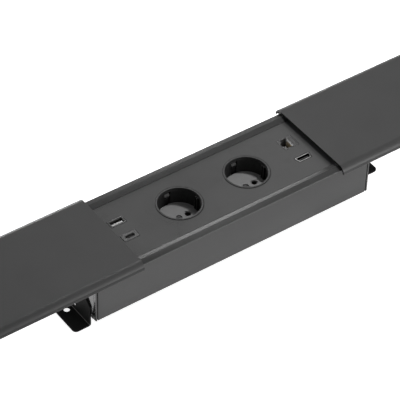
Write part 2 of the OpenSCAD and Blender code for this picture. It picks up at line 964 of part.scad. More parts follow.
module usb_a_shell() {
    color("silver")
        translate([usb_x, usb_a_y, panel_z - usb_depth])
            difference() {
                linear_extrude(usb_depth)
                    square([usb_a_l + 2 * shell_t, usb_a_w + 2 * shell_t], center = true);
                translate([0, 0, shell_floor])
                    linear_extrude(usb_depth)
                        square([usb_a_l, usb_a_w], center = true);
            }
}

module usb_a_tongue() {
    color("white")
        translate([usb_x - usb_a_tongue_l / 2, usb_a_y - usb_a_w / 2 + usb_a_tongue_gap,
                   panel_z - usb_depth + shell_floor])
            cube([usb_a_tongue_l, usb_a_tongue_t, usb_depth - shell_floor - 0.8]);
}

module usb_c_shell() {
    color("silver")
        translate([usb_x, usb_c_y, panel_z - usb_depth])
            difference() {
                linear_extrude(usb_depth)
                    slot_shape(usb_c_l + 2 * shell_t, usb_c_w / 2 + shell_t);
                translate([0, 0, shell_floor])
                    linear_extrude(usb_depth)
                        slot_shape(usb_c_l, usb_c_w / 2);
            }
}

module usb_c_tongue() {
    color([0.08, 0.08, 0.08])
        translate([usb_x - usb_c_tongue_l / 2, usb_c_y - usb_c_tongue_t / 2,
                   panel_z - usb_depth + shell_floor])
            cube([usb_c_tongue_l, usb_c_tongue_t, usb_depth - shell_floor - 1]);
}

// Data ports: a network coupler and a video coupler, both open again on the underside

module net_opening() {
    square([net_open_l, net_open_w], center = true);
    translate([-net_open_l / 2 - 0.7, 0])
        square([1.6, 6.2], center = true);
    translate([-net_open_l / 2 - 1.9, 0])
        square([1.4, 3.9], center = true);
}

module network_port() {
    color([0.3, 0.3, 0.31])
        translate([data_x, net_y, 0])
            difference() {
                union() {
                    translate([0, 0, panel_under - coupler_h])
                        linear_extrude(coupler_h + panel_t)
                            square([net_l, net_w], center = true);
                    translate([0, 0, panel_under - 2])
                        linear_extrude(2)
                            square([net_l + 3, net_w + 1], center = true);
                }
                translate([net_open_x, 0, panel_z - net_depth])
                    linear_extrude(net_depth + 1)
                        net_opening();
                translate([net_open_x, 0, panel_under - coupler_h - 1])
                    linear_extrude(12)
                        net_opening();
            }
}

module network_contacts() {
    pitch = 1.02;
    color("goldenrod")
        for (i = [0:7])
            translate([data_x + net_open_x + net_open_l / 2 - 0.3, net_y + (i - 3.5) * pitch,
                       panel_z - 2.2])
                rotate([0, 16, 0])
                    translate([-0.2, -0.22, -8])
                        cube([0.4, 0.44, 8]);
}

module video_coupler() {
    color([0.1, 0.1, 0.1])
        translate([data_x, video_y, 0])
            difference() {
                translate([0, 0, panel_under - coupler_h])
                    linear_extrude(coupler_h - fit_gap)
                        square([video_l + 3.4, video_w + 5], center = true);
                translate([0, 0, panel_z - video_depth - 1])
                    linear_extrude(video_depth + 2)
                        video_outline(fit_gap);
                translate([0, 0, panel_under - coupler_h - 1])
                    linear_extrude(9)
                        video_outline(-video_t);
            }
}

module video_shell() {
    color("silver")
        translate([data_x, video_y, panel_z - video_depth - 1])
            difference() {
                linear_extrude(video_depth + 1)
                    video_outline(0);
                translate([0, 0, 1])
                    linear_extrude(video_depth + 1)
                        video_outline(-video_t);
            }
}

module video_tongue() {
    color([0.08, 0.08, 0.08])
        translate([data_x - video_tongue_l / 2, video_y + 0.3 - video_tongue_t / 2,
                   panel_z - video_depth])
            cube([video_tongue_l, video_tongue_t, video_depth - 1.5]);
}

trough();
end_plate_left();
end_plate_right();
end_plate_screws();
face_panel();
cover_left();
cover_right();
glides_left();
glides_right();
bracket_left();
bracket_right();
clamp_screws();
clamp_washers();
clamp_nuts();
socket_cup_left();
socket_cup_right();
contact_carrier_left();
contact_carrier_right();
socket_screws();
earth_clip_left();
earth_clip_right();
live_busbar();
neutral_busbar();
earth_strip();
terminal_block();
terminal_screws();
internal_wires();
mains_gland();
gland_nut();
outlet_grommet();
charger_case();
charger_board();
usb_a_bezel();
usb_a_shell();
usb_a_tongue();
usb_c_bezel();
usb_c_shell();
usb_c_tongue();
network_port();
network_contacts();
video_coupler();
video_shell();
video_tongue();
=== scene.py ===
import json
import math
import bmesh
import bpy
from mathutils import Matrix, Vector

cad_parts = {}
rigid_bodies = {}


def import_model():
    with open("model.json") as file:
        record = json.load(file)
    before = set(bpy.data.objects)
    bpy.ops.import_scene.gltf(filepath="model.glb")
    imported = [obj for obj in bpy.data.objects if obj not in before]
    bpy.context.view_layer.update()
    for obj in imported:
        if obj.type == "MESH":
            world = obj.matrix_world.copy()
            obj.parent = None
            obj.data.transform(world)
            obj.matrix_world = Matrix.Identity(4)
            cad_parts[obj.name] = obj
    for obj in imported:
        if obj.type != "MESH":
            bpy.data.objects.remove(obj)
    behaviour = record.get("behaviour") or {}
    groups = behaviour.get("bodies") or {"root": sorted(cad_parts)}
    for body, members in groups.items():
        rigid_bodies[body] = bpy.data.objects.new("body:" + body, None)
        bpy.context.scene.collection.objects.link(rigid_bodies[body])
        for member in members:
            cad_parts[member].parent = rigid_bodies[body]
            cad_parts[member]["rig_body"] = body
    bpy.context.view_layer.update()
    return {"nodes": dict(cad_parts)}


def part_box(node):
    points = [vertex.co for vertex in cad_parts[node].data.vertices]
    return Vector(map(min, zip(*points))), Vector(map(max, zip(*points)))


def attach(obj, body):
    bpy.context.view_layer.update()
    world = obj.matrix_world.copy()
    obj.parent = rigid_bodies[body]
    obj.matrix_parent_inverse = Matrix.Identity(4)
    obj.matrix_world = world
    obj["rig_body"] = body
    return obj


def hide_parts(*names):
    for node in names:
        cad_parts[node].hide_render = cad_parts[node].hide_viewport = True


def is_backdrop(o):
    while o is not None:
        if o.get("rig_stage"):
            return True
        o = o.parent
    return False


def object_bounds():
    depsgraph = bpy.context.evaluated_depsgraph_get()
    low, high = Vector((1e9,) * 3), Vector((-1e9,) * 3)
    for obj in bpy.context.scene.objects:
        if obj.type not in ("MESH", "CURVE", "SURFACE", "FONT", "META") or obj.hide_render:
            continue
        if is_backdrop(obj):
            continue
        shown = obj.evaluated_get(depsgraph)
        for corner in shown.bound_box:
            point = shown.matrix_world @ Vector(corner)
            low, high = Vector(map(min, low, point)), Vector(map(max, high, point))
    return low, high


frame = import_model()

# Trough: one aluminium extrusion, fine-blasted and anodised anthracite, with a ridged rail along
# each top edge, a bead along each wall painted lighter as the highlight on its top outer edge,
# a ledge under each rail for the panel and a port for each end screw. Gland hole and cable outlet
# are milled in its floor.

MM = 0.001


class Wire:
    """One output of a node tree. Arithmetic on it adds the Math nodes."""

    def __init__(self, graph, socket):
        self.graph = graph
        self.socket = socket

    def math(self, operation, *values):
        return self.graph.node("ShaderNodeMath", {"operation": operation}, dict(enumerate(values)))

    def __add__(self, other):
        return self.math("ADD", self, other)

    def __radd__(self, other):
        return self.math("ADD", other, self)

    def __sub__(self, other):
        return self.math("SUBTRACT", self, other)

    def __rsub__(self, other):
        return self.math("SUBTRACT", other, self)

    def __mul__(self, other):
        return self.math("MULTIPLY", self, other)

    def __rmul__(self, other):
        return self.math("MULTIPLY", other, self)

    def __truediv__(self, other):
        return self.math("DIVIDE", self, other)

    def __gt__(self, other):
        return self.math("GREATER_THAN", self, other)

    def __lt__(self, other):
        return self.math("LESS_THAN", self, other)


class Graph:
    """A node tree, of a shader or of geometry, written as expressions."""

    def __init__(self, tree):
        self.tree = tree

    def node(self, kind, settings=None, inputs=None, output=0):
        """A new node, from its type, its settings and the values or links of its sockets."""
        made = self.tree.nodes.new(kind)
        for key, value in (settings or {}).items():
            if key == "stops":
                for stop, (place, grey) in zip(made.color_ramp.elements, value):
                    stop.position = place
                    stop.color = (grey, grey, grey, 1)
            else:
                setattr(made, key, value)
        for key, value in (inputs or {}).items():
            if isinstance(value, Wire):
                self.tree.links.new(value.socket, made.inputs[key])
            else:
                made.inputs[key].default_value = value
        return Wire(self, made.outputs[output])


class Finish(Graph):
    """The finish of one kind of surface: a Principled shader and what varies over the surface."""

    def __init__(self, name, **fixed):
        self.material = bpy.data.materials.new(name)
        self.material.use_nodes = True
        super().__init__(self.material.node_tree)
        self.shader = self.tree.nodes["Principled BSDF"]
        for socket, value in fixed.items():
            self.shader.inputs[socket.replace("_", " ")].default_value = value

    def place(self, stretch=(1, 1, 1)):
        """Where a point lies on the piece, with each axis stretched if asked."""
        here = self.node("ShaderNodeTexCoord", output="Object")
        return self.node("ShaderNodeMapping", {}, {"Vector": here, "Scale": stretch})

    def axis(self, name):
        """Where a point lies along X, Y or Z, in mm."""
        return self.node("ShaderNodeSeparateXYZ", {}, {0: self.place()}, name) / MM

    def off_middle(self, name):
        """How far a point lies from the middle along X, Y or Z, in mm."""
        along = self.axis(name)
        return along.math("ABSOLUTE", along)

    def grain(self, size, detail=3, stretch=(1, 1, 1)):
        """Noise from 0 to 1 whose grains have a size in mm."""
        spots = {"Vector": self.place(stretch), "Scale": 1 / (size * MM), "Detail": detail}
        return self.node("ShaderNodeTexNoise", {}, spots)

    def mix(self, mask, under, over):
        """One colour where a mask is 0 and another where it is 1."""
        colours = {0: mask, 6: under, 7: over}
        colours = {key: shade(value) if key else value for key, value in colours.items()}
        return self.node("ShaderNodeMix", {"data_type": "RGBA"}, colours, 2)

    def relief(self, height, depth):
        """Bumps as high as a depth in mm."""
        bump = {"Height": height, "Distance": depth * MM, "Strength": 1}
        self.feed("Normal", self.node("ShaderNodeBump", {}, bump))

    def feed(self, socket, wire):
        """Links what varies over the surface to a socket of the shader."""
        self.tree.links.new(wire.socket, self.shader.inputs[socket])

    def patch(self, mask, colour):
        """Lays another colour over the finish where a mask is 1."""
        below = Wire(self, self.shader.inputs["Base Color"].links[0].from_socket)
        self.feed("Base Color", self.mix(mask, below, colour))


def shade(value):
    """A colour from a wire, a grey or three numbers."""
    if isinstance(value, Wire):
        return value
    if isinstance(value, (int, float)):
        value = (value, value, value)
    return (*value, 1)


def textured(name, dark, light, rough, grain, relief, cloud=35, stretch=(1, 1, 1), **fixed):
    """A finish with a fine grain, slow clouds of colour and a roughness that follows both.

    Grain and cloud are sizes, and relief is a depth, all in mm.
    """
    cloud_swing = 0.1
    grain_swing = 0.12
    finish = Finish(name, **fixed)
    fine = finish.grain(grain, 4, stretch)
    clouds = finish.grain(cloud, 3)
    finish.feed("Base Color", finish.mix((fine * 0.5 + clouds * 0.5 - 0.25) * 2, dark, light))
    finish.feed("Roughness", rough + (clouds - 0.5) * cloud_swing + (fine - 0.5) * grain_swing)
    finish.relief(fine, relief)
    return finish


def plain(piece):
    """A piece's mesh with its modifiers worked in, so that none is left."""
    evaluated = piece.evaluated_get(bpy.context.evaluated_depsgraph_get())
    mesh = bpy.data.meshes.new_from_object(evaluated)
    piece.modifiers.clear()
    piece.data = mesh
    return piece


def link(name, mesh):
    """A new object in the scene."""
    piece = bpy.data.objects.new(name, mesh)
    bpy.context.scene.collection.objects.link(piece)
    return piece


def eased(piece, width, steps=2, angle=28):
    """Rounds a piece's sharp edges by a width in mm and lets its flat faces shade flat."""
    piece.data.shade_smooth()
    bevel = piece.modifiers.new("edges", "BEVEL")
    bevel.width = width * MM
    bevel.segments = steps
    bevel.limit_method = "ANGLE"
    bevel.angle_limit = math.radians(angle)
    bevel.use_clamp_overlap = False
    bevel.loop_slide = False
    bevel.harden_normals = True
    return plain(piece)


WELD = 0.001 * MM


def dressed(node, name, width, steps=2, angle=28):
    """A node's shape as one closed mesh with rounded edges."""
    flat = math.radians(0.3)
    build = bmesh.new()
    build.from_mesh(frame["nodes"][node].data)
    bmesh.ops.remove_doubles(build, verts=build.verts, dist=WELD)
    bmesh.ops.dissolve_limit(build, angle_limit=flat, verts=build.verts, edges=build.edges)
    mesh = bpy.data.meshes.new(name)
    build.to_mesh(mesh)
    build.free()
    return eased(link(name, mesh), width, steps, angle)


def seat(piece, finish, slot, *stands_for):
    """Gives a piece its finish, its body and the nodes that it stands for. The slot is not used.
    """
    piece.data.materials.clear()
    piece.data.materials.append(finish.material)
    piece.data.polygons.foreach_set("material_index", [0] * len(piece.data.polygons))
    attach(piece, frame["nodes"][stands_for[0]]["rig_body"])
    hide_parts(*stands_for)
    return piece


def span(node):
    """A node's lowest and highest corners, in mm."""
    return [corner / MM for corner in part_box(node)]


anodised = textured("anodised trough", 0.023, 0.030, 0.36, 0.16, 0.010, stretch=(0.25, 1, 1),
                    Specular_IOR_Level=0.12)
highlight_band_w = 0.55
painted_highlight_y = span("trough")[1].y - highlight_band_w
# Painted highlight: the outer strip of each wall is painted lighter, as the light caught on the
# top outer edge.
anodised.patch(anodised.off_middle("Y") > painted_highlight_y, 0.055)
seat(dressed("trough", "trough_extrusion", 0.16), anodised, "anodised_trough", "trough")


# Cable entry: a moulded nylon gland and its nut clamp the trough's floor between them, and a
# rubber edge guard is pushed into the cable outlet beside them. All are bought parts, black.

gland_nylon = textured("gland nylon", 0.012, 0.022, 0.5, 0.5, 0.02)
rubber = textured("outlet rubber", 0.010, 0.020, 0.68, 0.35, 0.03, Specular_IOR_Level=0.35)
seat(dressed("mains_gland", "gland_body", 0.3), gland_nylon, "gland_black", "mains_gland")
seat(dressed("gland_nut", "gland_counter_nut", 0.25), gland_nylon, "gland_black", "gland_nut")
seat(dressed("outlet_grommet", "outlet_edge_guard", 0.35, 3), rubber, "grommet_rubber",
     "outlet_grommet")


# Mains terminals: an ivory moulded block with two slotted screws for each pole, and the three
# insulated conductors that run from it to the busbars, blue, brown and green with yellow.

ivory = textured("block ivory", (0.66, 0.62, 0.50), (0.78, 0.74, 0.62), 0.45, 0.6, 0.015)
seat(dressed("terminal_block", "terminal_body", 0.25), ivory, "block_ivory", "terminal_block")


def coat(finish, *names):
    """Gives nodes whose own shape shows their finish."""
    for name in names:
        frame["nodes"][name].material_slots[0].material = finish.material


blue = (0.02, 0.10, 0.45)
brown = (0.16, 0.07, 0.03)
green = (0.05, 0.30, 0.04)
yellow = (0.75, 0.62, 0.03)
brown_y = 0
green_y = 12
sheath = Finish("wire sheath", Roughness=0.38)
wire_y = sheath.axis("Y")
stripe = (sheath.grain(3, 0, (0.05, 1, 1)) > 0.5) * (wire_y > green_y)
hue = sheath.mix(wire_y > brown_y, blue, brown)
hue = sheath.mix(wire_y > green_y, hue, green)
sheath.feed("Base Color", sheath.mix(stripe, hue, yellow))
sheath.relief(sheath.grain(0.8), 0.01)
coat(sheath, "internal_wires")


def outline_rect(length, width, radius, centre=(0, 0), steps=6):
    """A rectangle with round corners, counter-clockwise."""
    points = []
    for corner, (sx, sy) in enumerate([(1, 1), (-1, 1), (-1, -1), (1, -1)]):
        x = centre[0] + sx * (length / 2 - radius)
        y = centre[1] + sy * (width / 2 - radius)
        for i in range(steps + 1):
            a = math.radians(90 * corner + 90 * i / steps)
            points.append((x + radius * math.cos(a), y + radius * math.sin(a)))
    return points


def stamped(name, outlines, low, high, turn=Matrix.Identity(4)):
    """A flat piece, in mm: the first outline is its rim and the others are its holes."""
    build = bmesh.new()
    for outline in outlines:
        ring = [build.verts.new((x * MM, y * MM, low * MM)) for x, y in outline]
        for here, there in zip(ring, ring[1:] + ring[:1]):
            build.edges.new((here, there))
    filled = bmesh.ops.triangle_fill(build, use_beauty=True, use_dissolve=False, edges=build.edges)
    faces = [part for part in filled["geom"] if isinstance(part, bmesh.types.BMFace)]
    raised = bmesh.ops.extrude_face_region(build, geom=faces)["geom"]
    raised = [part for part in raised if isinstance(part, bmesh.types.BMVert)]
    bmesh.ops.translate(build, verts=raised, vec=(0, 0, (high - low) * MM))
    bmesh.ops.recalc_face_normals(build, faces=build.faces)
    build.transform(turn)
    mesh = bpy.data.meshes.new(name)
    build.to_mesh(mesh)
    build.free()
    return link(name, mesh)


def lathed(name, profile, steps=96):
    """A turned piece, in mm: a profile of radius and height, spun about Z."""
    build = bmesh.new()
    ring = [build.verts.new((r * MM, 0, z * MM)) for r, z in profile]
    edges = [build.edges.new(pair) for pair in zip(ring, ring[1:])]
    bmesh.ops.spin(build, geom=ring + edges, axis=(0, 0, 1), cent=(0, 0, 0), angle=math.tau,
                   steps=steps, use_merge=True)
    bmesh.ops.remove_doubles(build, verts=build.verts, dist=WELD)
    bmesh.ops.recalc_face_normals(build, faces=build.faces)
    mesh = bpy.data.meshes.new(name)
    build.to_mesh(mesh)
    build.free()
    return link(name, mesh)


def carved(piece, cuts=(), joins=()):
    """Joins solids on to a piece and cuts others out of it."""
    for operation, tools in (("UNION", joins), ("DIFFERENCE", cuts)):
        for tool in tools:
            step = piece.modifiers.new("carve", "BOOLEAN")
            step.operation = operation
            step.solver = "EXACT"
            step.object = tool
    plain(piece)
    for tool in (*cuts, *joins):
        bpy.data.objects.remove(tool)
    return piece


def moved(piece, x=0, y=0, z=0):
    """Shifts a piece's mesh by millimetres."""
    piece.data.transform(Matrix.Translation((x * MM, y * MM, z * MM)))
    return piece


def bar(low, high):
    """A bar between two corners, in mm. Its hair-thin chamfers keep a cut clear of other edges."""
    hair = 0.001
    length, width, height = [b - a for a, b in zip(low, high)]
    middle = [(a + b) / 2 for a, b in zip(low, high)]
    rim = outline_rect(length, width, hair, steps=1)
    return moved(stamped("bar", [rim], -height / 2, height / 2), *middle)


def rows_tree():
    """A tree that sets copies of a piece in a lattice, each turned outwards along X if asked."""
    group = bpy.data.node_groups.new("pieces in rows", "GeometryNodeTree")
    sockets = [("Piece", "Object"), ("Finish", "Material"), ("Start", "Vector"),
               ("Count X", "Int"), ("Count Y", "Int"), ("Count Z", "Int"),
               ("Step X", "Float"), ("Step Y", "Float"), ("Step Z", "Float"), ("Turn", "Float")]
    for name, kind in sockets:
        group.interface.new_socket(name=name, in_out="INPUT", socket_type="NodeSocket" + kind)
    group.interface.new_socket(name="Geometry", in_out="OUTPUT", socket_type="NodeSocketGeometry")
    graph = Graph(group)
    given = group.nodes.new("NodeGroupInput")
    given = {socket.name: Wire(graph, socket) for socket in given.outputs if socket.name}
    points = None
    for axis in "XYZ":
        step = graph.node("ShaderNodeCombineXYZ", {}, {axis: given["Step " + axis]})
        start = {"Start Location": given["Start"]} if points is None else {}
        line = graph.node("GeometryNodeMeshLine", {"mode": "OFFSET"},
                          {"Count": given["Count " + axis], "Offset": step, **start})
        if points is not None:
            line = graph.node("GeometryNodeInstanceOnPoints", {},
                              {"Points": points, "Instance": line})
            line = graph.node("GeometryNodeRealizeInstances", {}, {0: line})
        points = line
    place = graph.node("GeometryNodeInputPosition")
    side = graph.node("ShaderNodeSeparateXYZ", {}, {0: place}, "X")
    turn = side.math("SIGN", side) * given["Turn"]
    turn = graph.node("ShaderNodeCombineXYZ", {}, {"Y": turn})
    like = graph.node("GeometryNodeObjectInfo", {}, {"Object": given["Piece"]}, "Geometry")
    copies = graph.node("GeometryNodeInstanceOnPoints", {},
                        {"Points": points, "Instance": like, "Rotation": turn})
    solid = graph.node("GeometryNodeRealizeInstances", {}, {0: copies})
    solid = graph.node("GeometryNodeSetMaterial", {},
                       {"Geometry": solid, "Material": given["Finish"]})
    out = group.nodes.new("NodeGroupOutput")
    group.links.new(solid.socket, out.inputs[0])
    return group


ROWS = rows_tree()


def grown(name, group, values):
    """The mesh that a tree makes from its named inputs."""
    piece = link(name, bpy.data.meshes.new(name))
    step = piece.modifiers.new("build", "NODES")
    step.node_group = group
    for socket in group.interface.items_tree:
        if socket.in_out == "INPUT":
            step[socket.identifier] = values[socket.name]
    return plain(piece)


def in_rows(name, one, finish, start, counts=(1, 1, 1), steps=(0, 0, 0), outwards=False):
    """Copies of one small piece in rows: start and steps are in mm."""
    values = {"Piece": one, "Finish": finish.material, "Start": [v * MM for v in start],
              "Turn": math.pi / 2 if outwards else 0.0}
    for axis, count, step in zip("XYZ", counts, steps):
        values["Count " + axis] = count
        values["Step " + axis] = step * MM
    made = grown(name, ROWS, values)
    bpy.data.objects.remove(one)
    return made


zinc = textured("zinc screw", 0.42, 0.58, 0.30, 0.25, 0.006, cloud=3, Metallic=1.0)

low, high = span("terminal_screws")
terminal_r = 2
terminal_h = 4
terminal_chamfer = 0.4
slot_w = 0.7
slot_floor = 3.2
slotted = carved(
    lathed("slotted", [(0, 0), (terminal_r, 0), (terminal_r, terminal_h - terminal_chamfer),
                       (terminal_r - terminal_chamfer, terminal_h), (0, terminal_h)], 32),
    [bar((-terminal_r - 1, -slot_w / 2, slot_floor),
         (terminal_r + 1, slot_w / 2, terminal_h + 1))])
start = (low.x + terminal_r, low.y + terminal_r, low.z)
steps = (high.x - low.x - 2 * terminal_r, (high.y - low.y - 2 * terminal_r) / 2, 0)
seat(in_rows("terminal_clamp_screws", slotted, zinc, start, (2, 3, 1), steps), zinc, "zinc_screw",
     "terminal_screws")


# Contacts: a moulded carrier under each socket holds split brass sleeves on two busbars, with a
# third strip for the earth. The brass is rolled strip, punched and left bare.

carrier = textured("carrier black", 0.014, 0.024, 0.55, 0.4, 0.02)
brass = textured("contact brass", (0.60, 0.42, 0.17), (0.78, 0.58, 0.27), 0.28, 0.5, 0.004,
                 cloud=8, stretch=(0.1, 1, 1), Metallic=1.0)
for side in ("left", "right"):
    seat(dressed("contact_carrier_" + side, "carrier_block_" + side, 0.3), carrier,
         "carrier_black", "contact_carrier_" + side)
coat(brass, "live_busbar", "neutral_busbar", "earth_strip")


# Sockets: a moulded black cup whose thin rim covers the panel's hole, with a fluted guide rib on
# each side of its round recess, two pin holes, a seat for the screw and a slot for each earth
# contact. Its wall is matt and dark and its rim is greyer. Its floor is painted lighter as the
# light that falls into the recess, and a painted shadow line darkens the rim's outer edge.

cup_low, cup_high = span("socket_cup_left")
rim_z = cup_high.z
rim_r = (cup_high.x - cup_low.x) / 2
cup_under = cup_low.z
panel_z = span("face_panel")[1].z
mouth_r = 19.6
mouth_d = 2.5
recess_r = 19.3
recess_d = 17.5
recess_z = rim_z - recess_d
wall_r = 20.95
screw_hole_r = 1.7
pin_gap = 19
pin_r = 2.75
rib_w = 4.6
rib_p = 1.7
flute_w = 1.5
flute_d = 0.8
earth_slot = 6
earth_slot_y = recess_r - 0.35
earth_slot_top = rim_z - 3.5
seat_r = 2.9
seat_d = 1.2
key_hole = (1.7, -8.6)
key_hole_r = 1.1
key_hole_d = 1.4


def arc(cx, cy, radius, start, end, steps):
    """Points on an arc, with its angles in degrees."""
    turns = [math.radians(start + (end - start) * i / steps) for i in range(steps + 1)]
    return [(cx + radius * math.cos(a), cy + radius * math.sin(a)) for a in turns]


def cup_profile():
    """From the middle of the recess's floor, over the rim, to the middle of the underside."""
    corner = 0.8
    lip = 0.35
    step = 0.1
    groove_r = rim_r - 0.95
    groove_w = 0.12
    groove_d = 0.2
    inside = [(0, recess_z), *arc(recess_r - corner, recess_z + corner, corner, -90, 0, 5),
              (recess_r, rim_z - mouth_d), (mouth_r, rim_z - mouth_d + step),
              *arc(mouth_r + lip, rim_z - lip, lip, 180, 90, 5)]
    groove = [(groove_r - groove_w, rim_z), (groove_r, rim_z - groove_d),
              (groove_r + groove_w, rim_z)]
    outside = [*arc(rim_r - lip, rim_z - lip, lip, 90, 0, 5), (rim_r, panel_z), (wall_r, panel_z),
               (wall_r, cup_under), (0, cup_under)]
    return inside + groove + outside


def pin_cutter(x):
    """A pin hole with a countersunk mouth."""
    sink = 0.5
    deep = 3
    profile = [(0, -deep), (pin_r, -deep), (pin_r, -sink), (pin_r + sink, 0), (pin_r + sink, 1),
               (0, 1)]
    return moved(lathed("pin", profile, 48), x, 0, recess_z)


def rod(radius, low, high, x=0, y=0):
    """A round cutter between two heights."""
    profile = [(0, low), (radius, low), (radius, high), (0, high)]
    return moved(lathed("rod", profile, 48), x, y)


def socket_cup(name):
    """The turned cup with its ribs joined on, and its holes, flutes and contact slots cut."""
    root = 0.6
    sunk = 0.5
    flute_z = recess_z + 1.2
    ribs = []
    cuts = [pin_cutter(-pin_gap / 2), pin_cutter(pin_gap / 2),
            rod(screw_hole_r, cup_under - 1, recess_z + 1),
            rod(seat_r, recess_z - seat_d, recess_z + 1),
            rod(key_hole_r, recess_z - key_hole_d, recess_z + 1, *key_hole)]
    for side in (-1, 1):
        inner = side * (recess_r - rib_p)
        outer = side * (recess_r + root)
        ribs.append(bar((min(inner, outer), -rib_w / 2, recess_z - sunk),
                        (max(inner, outer), rib_w / 2, rim_z - mouth_d - sunk)))
        flute = side * (recess_r - rib_p + flute_d)
        reach = side * (recess_r - rib_p - 1)
        cuts.append(bar((min(flute, reach), -flute_w / 2, flute_z),
                        (max(flute, reach), flute_w / 2, rim_z)))
        near = side * earth_slot_y
        far = side * (wall_r + 1)
        cuts.append(bar((-earth_slot / 2, min(near, far), cup_under - 1),
                        (earth_slot / 2, max(near, far), earth_slot_top)))
    return eased(carved(lathed(name, cup_profile(), 160), cuts, ribs), 0.12, 2, 32)


cup_xs = [sum(corner.x for corner in span("socket_cup_" + side)) / 2 for side in ("left", "right")]
rim_t = 0.3
shadow_line_t = 0.5
shadow_line_w = 0.7
lit_floor_t = 0.4
cup_black = textured("socket black", 0.003, 0.006, 0.55, 0.22, 0.012, Specular_IOR_Level=0.3)
cup_height = cup_black.axis("Z")
from_middle = cup_black.axis("X") - sum(cup_xs) / 2
from_cup = from_middle.math("ABSOLUTE", from_middle) - (cup_xs[1] - cup_xs[0]) / 2
cup_y = cup_black.axis("Y")
from_axis = cup_y.math("SQRT", from_cup * from_cup + cup_y * cup_y)
# Painted shadow: a black line round the rim's outer edge, where it meets the panel.
rim_shadow_line = (cup_height > rim_z - shadow_line_t) * (from_axis > rim_r - shadow_line_w)
cup_black.patch(cup_height > rim_z - rim_t, cup_black.mix(cup_black.grain(3), 0.030, 0.038))
cup_black.patch(rim_shadow_line, 0.002)
# Painted light: the recess floor is painted lighter grey, as the light falling into the recess.
cup_black.patch(cup_height < recess_z + lit_floor_t, cup_black.mix(cup_black.grain(5), 0.118, 0.142))

for side, x in zip(("left", "right"), cup_xs):
    seat(moved(socket_cup("socket_insert_" + side), x), cup_black, "socket_black",
         "socket_cup_" + side)


# Earth contacts: nickelled brass strip, bent to a U. The socket's screw clamps its middle between
# cup and carrier, and its sprung ends bow into the recess through the slots in the wall.

clip_t = 0.6
clip_w = 5
clip_hole_r = 1.8
nickel = textured("nickelled strip", 0.025, 0.045, 0.52, 0.3, 0.004, cloud=5, Metallic=1.0)


def clip_path(leg_y, under, tip_z):
    """The right half of the strip's middle line, from the screw to the sprung tip."""
    bend = 1.2
    bow_in = 1.7
    bow_l = 6.4
    bow_z = tip_z - 4
    steps = 14
    bow = []
    for i in range(steps + 1):
        swing = math.sin(math.radians(180 * i / steps)) ** 1.5
        bow.append((leg_y - bow_in * swing, bow_z + bow_l * (i / steps - 0.5)))
    return [(0, under), *arc(leg_y - bend, under + bend, bend, -90, 0, 6), *bow,
            (leg_y + 0.05, tip_z - 0.3)]


def thick_line(path, thickness):
    """The outline of a strip that follows a path."""
    left, right = [], []
    for i, (x, y) in enumerate(path):
        before = path[max(i - 1, 0)]
        after = path[min(i + 1, len(path) - 1)]
        run = Vector((after[0] - before[0], after[1] - before[1])).normalized() * thickness / 2
        left.append((x - run.y, y + run.x))
        right.append((x + run.y, y - run.x))
    return left + right[::-1]


ALONG_X = Matrix(((0, 0, 1, 0), (1, 0, 0, 0), (0, 1, 0, 0), (0, 0, 0, 1)))

for side, x in zip(("left", "right"), cup_xs):
    low, high = span("earth_clip_" + side)
    half = clip_path(high.y - clip_t / 2, low.z + clip_t / 2, high.z)
    path = [(-y, z) for y, z in half[:0:-1]] + half
    strip = stamped("earth_contact_" + side, [thick_line(path, clip_t)], -clip_w / 2, clip_w / 2,
                    ALONG_X)
    strip = carved(moved(strip, x), [rod(clip_hole_r, low.z - 1, low.z + 2, x)])
    seat(eased(strip, 0.1, 1), nickel, "contact_brass", "earth_clip_" + side)


# Socket screws: one slotted steel screw in the seat of each recess's floor holds cup and carrier
# together. It is zinc plated and passivated to a dull grey.

screw_low, screw_high = span("socket_screws")
head_r = 2.3
head_h = 1.1
head_round = 0.3
screw_r = 1.5
screw_tip_r = 1.2
drive_w = 0.6
drive_d = 0.55
shank = screw_high.z - head_h - screw_low.z
grey_zinc = textured("passivated screw", 0.10, 0.16, 0.45, 0.25, 0.006, cloud=3, Metallic=1.0)
socket_screw = carved(
    lathed("socket_screw", [(0, -shank), (screw_tip_r, -shank), (screw_r, -shank + 0.5),
                            (screw_r, 0), (head_r, 0), (head_r, head_h - 0.35),
                            *arc(head_r - head_round, head_h - head_round, head_round, 0, 90, 4),
                            (0, head_h)], 48),
    [bar((-3, -drive_w / 2, head_h - drive_d), (3, drive_w / 2, 2))])
seat(in_rows("recess_screws", socket_screw, grey_zinc, (cup_xs[0], 0, screw_high.z - head_h),
             (2, 1, 1), (cup_xs[1] - cup_xs[0], 0, 0)), grey_zinc, "zinc_screw", "socket_screws")


# Charger: a closed black case with its board hangs under the panel. Each of its two ports has a
# moulded grey bezel, a drawn steel shell, blackened, and a tongue with gold-flashed pads.

case = textured("charger case", 0.012, 0.020, 0.5, 0.5, 0.02)
seat(dressed("charger_case", "charger_housing", 0.35), case, "carrier_black", "charger_case")

board = textured("solder resist", (0.01, 0.10, 0.03), (0.03, 0.20, 0.07), 0.35, 1.5, 0.01)
coat(board, "charger_board")

bezel_grey = textured("bezel grey", 0.032, 0.042, 0.42, 0.2, 0.01)
shell_black = textured("blackened shell", 0.03, 0.05, 0.4, 0.4, 0.003, cloud=4, Metallic=0.6)
white = textured("white tongue", 0.32, 0.38, 0.35, 0.5, 0.004)
black = textured("black tongue", 0.010, 0.018, 0.45, 0.3, 0.01)
gold = textured("gold flash", (0.85, 0.62, 0.22), (1.0, 0.78, 0.34), 0.22, 0.3, 0.002, cloud=2,
                Metallic=1.0)

for port in ("usb_a", "usb_c"):
    seat(dressed(port + "_bezel", port + "_surround", 0.18), bezel_grey, "bezel_grey",
         port + "_bezel")
    seat(dressed(port + "_shell", port + "_sleeve", 0.06, 1), shell_black, "shell_steel",
         port + "_shell")
seat(dressed("usb_a_tongue", "usb_a_blade", 0.2), white, "tongue_white", "usb_a_tongue")
seat(dressed("usb_c_tongue", "usb_c_blade", 0.12), black, "tongue_black", "usb_c_tongue")


